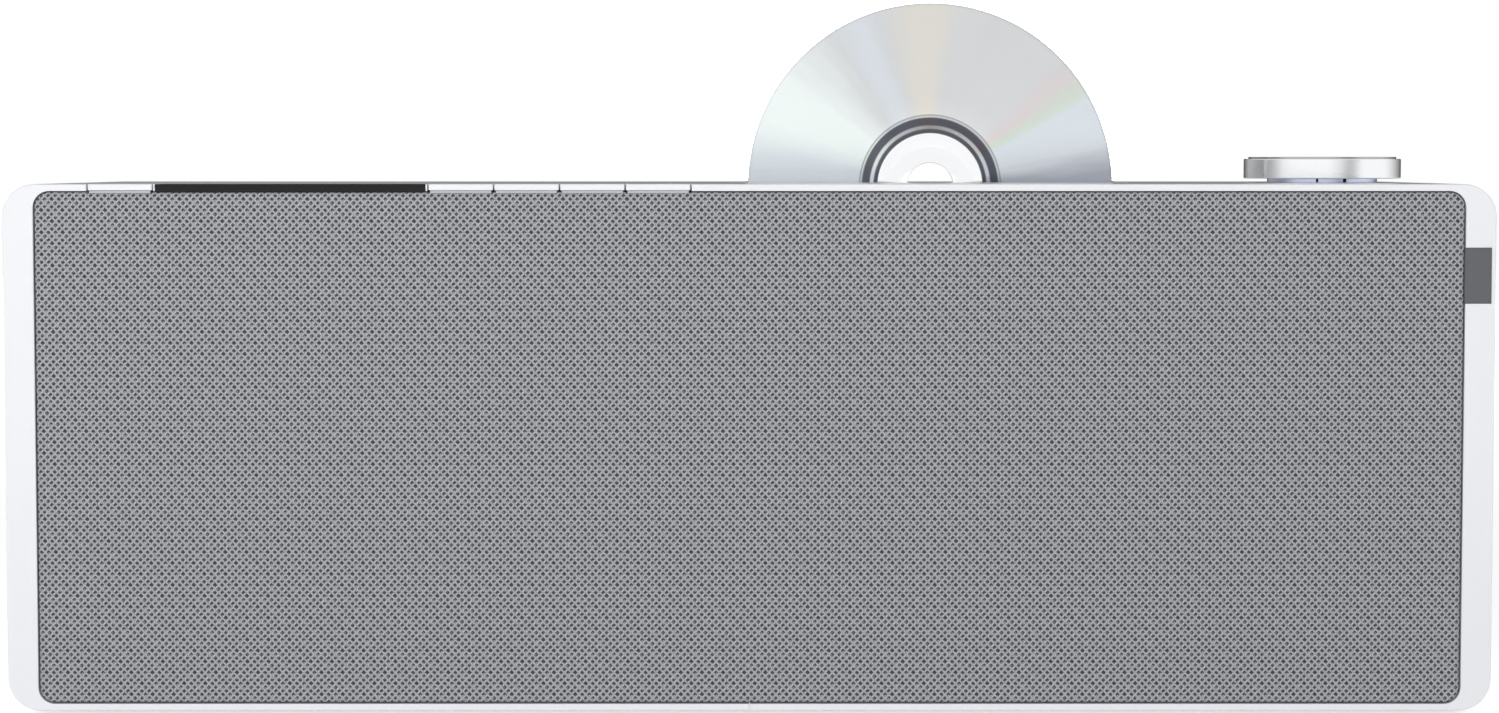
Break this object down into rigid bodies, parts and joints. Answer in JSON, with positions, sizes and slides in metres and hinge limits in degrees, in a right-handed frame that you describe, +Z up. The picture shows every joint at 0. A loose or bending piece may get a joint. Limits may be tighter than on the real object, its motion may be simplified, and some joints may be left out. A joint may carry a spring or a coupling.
{
  "type": "slot-loading disc player with speakers",
  "caption": "Slab-shaped disc player with a woven grille, a disc slot and knob in its top, keys and a display along the top front edge, and rear wall fixings.",
  "frame": {"origin": "centre of the bounding box's bottom, on the surface under the feet", "axes": "+Z up, +X to the right seen from the front, +Y from the front to the back"},
  "size_m": [0.45, 0.1444, 0.2201],
  "materials": {
    "cabinet_paint": "satin light grey paint",
    "cover_plastic": "fine grained light grey",
    "grille_cloth": "coarse diagonal weave, light grey",
    "tag_fabric": "woven strip, grey",
    "dark_plastic": "matte",
    "baffle_board": "dark painted board",
    "screw_steel": "blackened",
    "insert_brass": "turned",
    "foot_rubber": "matte",
    "black_rubber": "matte",
    "basket_steel": "black",
    "magnet_ferrite": "grey",
    "cone_paper": "dark pulp",
    "felt": "short pile",
    "disc_plastic": "metallised, iridescent",
    "key_plastic": "satin light grey",
    "lens_black": "glossy black",
    "display_dark": "dark",
    "board_green": "solder mask",
    "knob_aluminium": "bead blasted, anodised",
    "bright_steel": "bright",
    "chassis_steel": "zinc plated",
    "deck_steel": "zinc plated",
    "lens_clear": "coated",
    "socket_black": "matte",
    "socket_metal": "tin plated"
  },
  "bodies": {
    "cabinet": {"cabinet": "cabinet_paint", "rear_cover": "cover_plastic", "rear_screws": "screw_steel", "wall_inserts": "insert_brass", "rubber_feet": "foot_rubber", "grille_frame": "dark_plastic", "grille_cloth": "grille_cloth", "fabric_tag": "tag_fabric", "baffle": "baffle_board", "basket_left": "basket_steel", "basket_right": "basket_steel", "magnet_left": "magnet_ferrite", "magnet_right": "magnet_ferrite", "suspension_left": "black_rubber", "suspension_right": "black_rubber", "tweeter_left": "dark_plastic", "tweeter_right": "dark_plastic", "speaker_screws": "screw_steel", "slot_liner": "key_plastic", "slot_felt": "felt", "display_bezel": "key_plastic", "display_lens": "lens_black", "display_module": "display_dark", "control_board": "board_green", "knob_collar": "bright_steel", "control_case": "dark_plastic", "control_nut": "bright_steel", "mech_chassis": "chassis_steel", "mech_dampers": "black_rubber", "clamp_bridge": "chassis_steel", "loading_motor": "bright_steel", "loading_belt": "black_rubber", "main_board": "board_green", "bass_port": "dark_plastic", "mains_inlet": "socket_black", "audio_jack": "socket_black", "network_socket": "socket_metal"},
    "left_cone": {"cone_left": "cone_paper"},
    "right_cone": {"cone_right": "cone_paper"},
    "power_key": {"key_power": "key_plastic"},
    "key_one": {"key_1": "key_plastic"},
    "key_two": {"key_2": "key_plastic"},
    "key_three": {"key_3": "key_plastic"},
    "key_four": {"key_4": "key_plastic"},
    "knob": {"knob_body": "knob_aluminium", "knob_cap": "knob_aluminium", "control_shaft": "bright_steel"},
    "disc": {"disc": "disc_plastic"},
    "feed_roller": {"roller_shaft": "bright_steel", "feed_roller": "black_rubber"},
    "motor_pulley": {"motor_pulley": "bright_steel"},
    "clamp_puck": {"clamp_puck": "dark_plastic"},
    "deck": {"traverse_deck": "deck_steel", "spindle_motor": "bright_steel", "guide_rods": "bright_steel", "sled_motor": "bright_steel"},
    "turntable": {"turntable": "dark_plastic"},
    "pickup": {"pickup_sled": "dark_plastic", "pickup_lens": "lens_clear"},
    "lead_screw": {"lead_screw": "bright_steel"}
  },
  "joints": [
    {"name": "left_cone_stroke", "type": "slide", "parent": "cabinet", "child": "left_cone", "axis": [0, -1, 0], "range_m": [-0.002, 0.002], "stiffness_N_per_m": 1500, "deforming": ["suspension_left"]},
    {"name": "right_cone_stroke", "type": "slide", "parent": "cabinet", "child": "right_cone", "axis": [0, -1, 0], "range_m": [-0.002, 0.002], "stiffness_N_per_m": 1500, "deforming": ["suspension_right"]},
    {"name": "power_key_press", "type": "slide", "parent": "cabinet", "child": "power_key", "axis": [0, 0, -1], "range_m": [0, 0.0003], "stiffness_N_per_m": 2000},
    {"name": "key_one_press", "type": "slide", "parent": "cabinet", "child": "key_one", "axis": [0, 0, -1], "range_m": [0, 0.0003], "stiffness_N_per_m": 2000},
    {"name": "key_two_press", "type": "slide", "parent": "cabinet", "child": "key_two", "axis": [0, 0, -1], "range_m": [0, 0.0003], "stiffness_N_per_m": 2000},
    {"name": "key_three_press", "type": "slide", "parent": "cabinet", "child": "key_three", "axis": [0, 0, -1], "range_m": [0, 0.0003], "stiffness_N_per_m": 2000},
    {"name": "key_four_press", "type": "slide", "parent": "cabinet", "child": "key_four", "axis": [0, 0, -1], "range_m": [0, 0.0003], "stiffness_N_per_m": 2000},
    {"name": "knob_turn", "type": "hinge", "parent": "cabinet", "child": "knob", "pos_m": [0.1872, 0.016, 0.1612], "axis": [0, 0, 1], "continuous": true},
    {"name": "disc_insert", "type": "slide", "parent": "cabinet", "child": "disc", "axis": [0, 0, -1], "range_m": [-0.062, 0.076]},
    {"name": "feed_roller_spin", "type": "hinge", "parent": "cabinet", "child": "feed_roller", "pos_m": [0.059, 0.02065, 0.1497], "axis": [1, 0, 0], "continuous": true},
    {"name": "motor_pulley_spin", "type": "hinge", "parent": "cabinet", "child": "motor_pulley", "pos_m": [-0.0125, 0.034, 0.1287], "axis": [1, 0, 0], "continuous": true},
    {"name": "deck_lift", "type": "slide", "parent": "cabinet", "child": "deck", "axis": [0, -1, 0], "range_m": [0, 0.003]},
    {"name": "turntable_spin", "type": "hinge", "parent": "deck", "child": "turntable", "pos_m": [0.059, 0.0199, 0.0841], "axis": [0, 1, 0], "continuous": true},
    {"name": "clamp_puck_spin", "type": "hinge", "parent": "cabinet", "child": "clamp_puck", "pos_m": [0.059, 0.012, 0.0841], "axis": [0, 1, 0], "continuous": true},
    {"name": "pickup_travel", "type": "slide", "parent": "deck", "child": "pickup", "axis": [1, 0, 0], "range_m": [0, 0.034]},
    {"name": "lead_screw_spin", "type": "hinge", "parent": "deck", "child": "lead_screw", "pos_m": [0.071, 0.0309, 0.0521], "axis": [1, 0, 0], "continuous": true}
  ],
  "couplings": [
    {"joint": "feed_roller_spin", "follows": "disc_insert", "rad_per_m": 250},
    {"joint": "motor_pulley_spin", "follows": "disc_insert", "rad_per_m": 634.62},
    {"joint": "clamp_puck_spin", "follows": "turntable_spin", "ratio": 1},
    {"joint": "lead_screw_spin", "follows": "pickup_travel", "rad_per_m": 2094.4}
  ]
}
